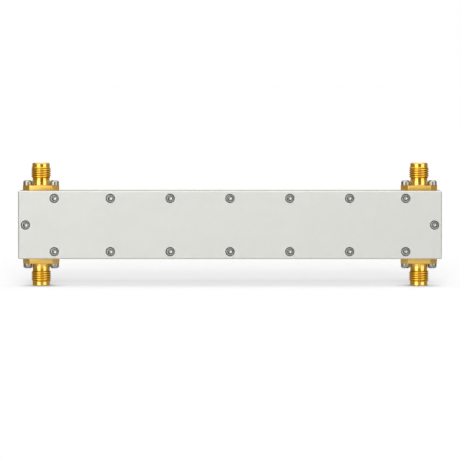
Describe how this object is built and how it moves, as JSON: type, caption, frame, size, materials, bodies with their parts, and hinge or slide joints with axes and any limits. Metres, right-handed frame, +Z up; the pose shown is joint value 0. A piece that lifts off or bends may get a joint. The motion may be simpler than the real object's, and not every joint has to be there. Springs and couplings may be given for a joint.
{
  "type": "rat race coupler",
  "caption": "Slim two-piece metal box with a stripline ring inside, which splits and combines microwave signals between threaded coaxial ports on its long sides.",
  "frame": {"origin": "under the middle of the box, on the plane that the rims of the two lower ports stand on", "axes": "+Z up along the port axes, +X along the box, -Y out of the front cover"},
  "size_m": [0.1368, 0.012, 0.0398],
  "materials": {
    "blasted_aluminium": "fine blasted and passivated, pale warm grey",
    "stainless_steel": "bright, turned",
    "gold_plate": "gold plated, turned",
    "insulator": "turned fluoropolymer, white",
    "laminate": "glass-filled fluoropolymer board",
    "copper": "etched copper foil"
  },
  "bodies": {
    "root": {"housing": "blasted_aluminium", "front_cover": "blasted_aluminium", "cover_screws": "stainless_steel", "rear_board": "laminate", "ring_trace": "copper", "front_board": "laminate", "upper_left_connector": "gold_plate", "upper_left_insulator": "insulator", "upper_left_contact": "gold_plate", "upper_left_flange_screws": "stainless_steel", "upper_right_connector": "gold_plate", "upper_right_insulator": "insulator", "upper_right_contact": "gold_plate", "upper_right_flange_screws": "stainless_steel", "lower_left_connector": "gold_plate", "lower_left_insulator": "insulator", "lower_left_contact": "gold_plate", "lower_left_flange_screws": "stainless_steel", "lower_right_connector": "gold_plate", "lower_right_insulator": "insulator", "lower_right_contact": "gold_plate", "lower_right_flange_screws": "stainless_steel"}
  },
  "joints": []
}
